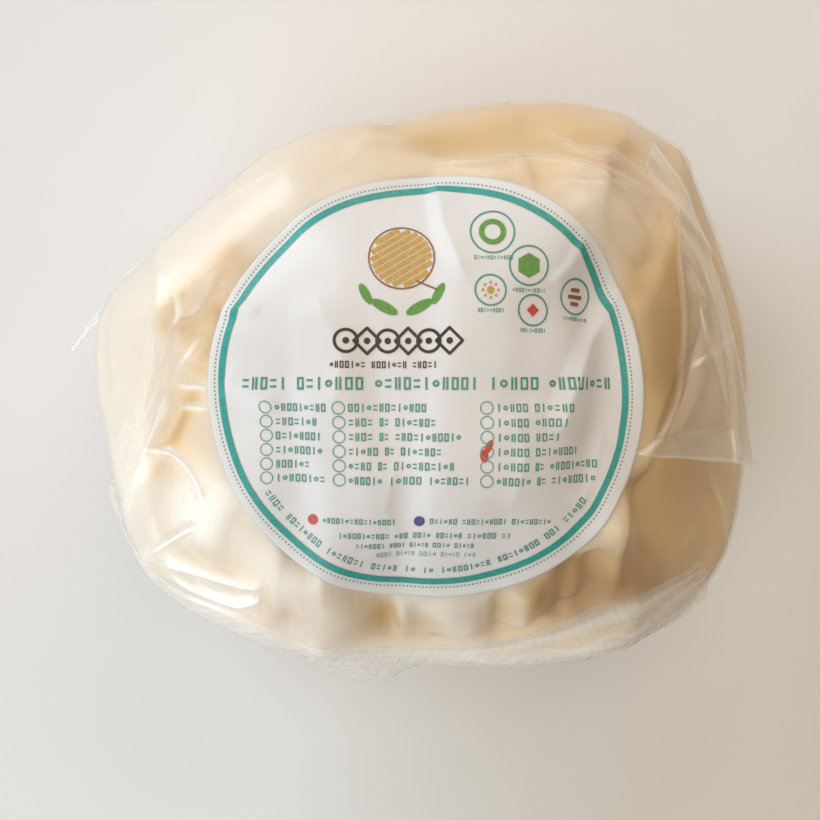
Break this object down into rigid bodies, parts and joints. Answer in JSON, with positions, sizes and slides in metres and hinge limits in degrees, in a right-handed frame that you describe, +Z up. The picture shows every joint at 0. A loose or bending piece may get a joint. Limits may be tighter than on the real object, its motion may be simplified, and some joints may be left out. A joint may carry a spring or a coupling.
{
  "type": "ball of string cheese in a clear bag",
  "caption": "Soft ball of wound string cheese in a tight, clear, closed bag, with a round paper label on top.",
  "frame": {"origin": "on the table, under the middle of the whole, the film's flaps included", "axes": "+X to the right of a reader of the label, +Y towards the top of the label, +Z up through the label"},
  "size_m": [0.1286, 0.114, 0.0857],
  "materials": {
    "bag": "clear glossy film, tight over pale cream cheese",
    "label": "satin white paper with print in two greens"
  },
  "bodies": {
    "root": {"bag": "bag", "label": "label"}
  },
  "joints": []
}
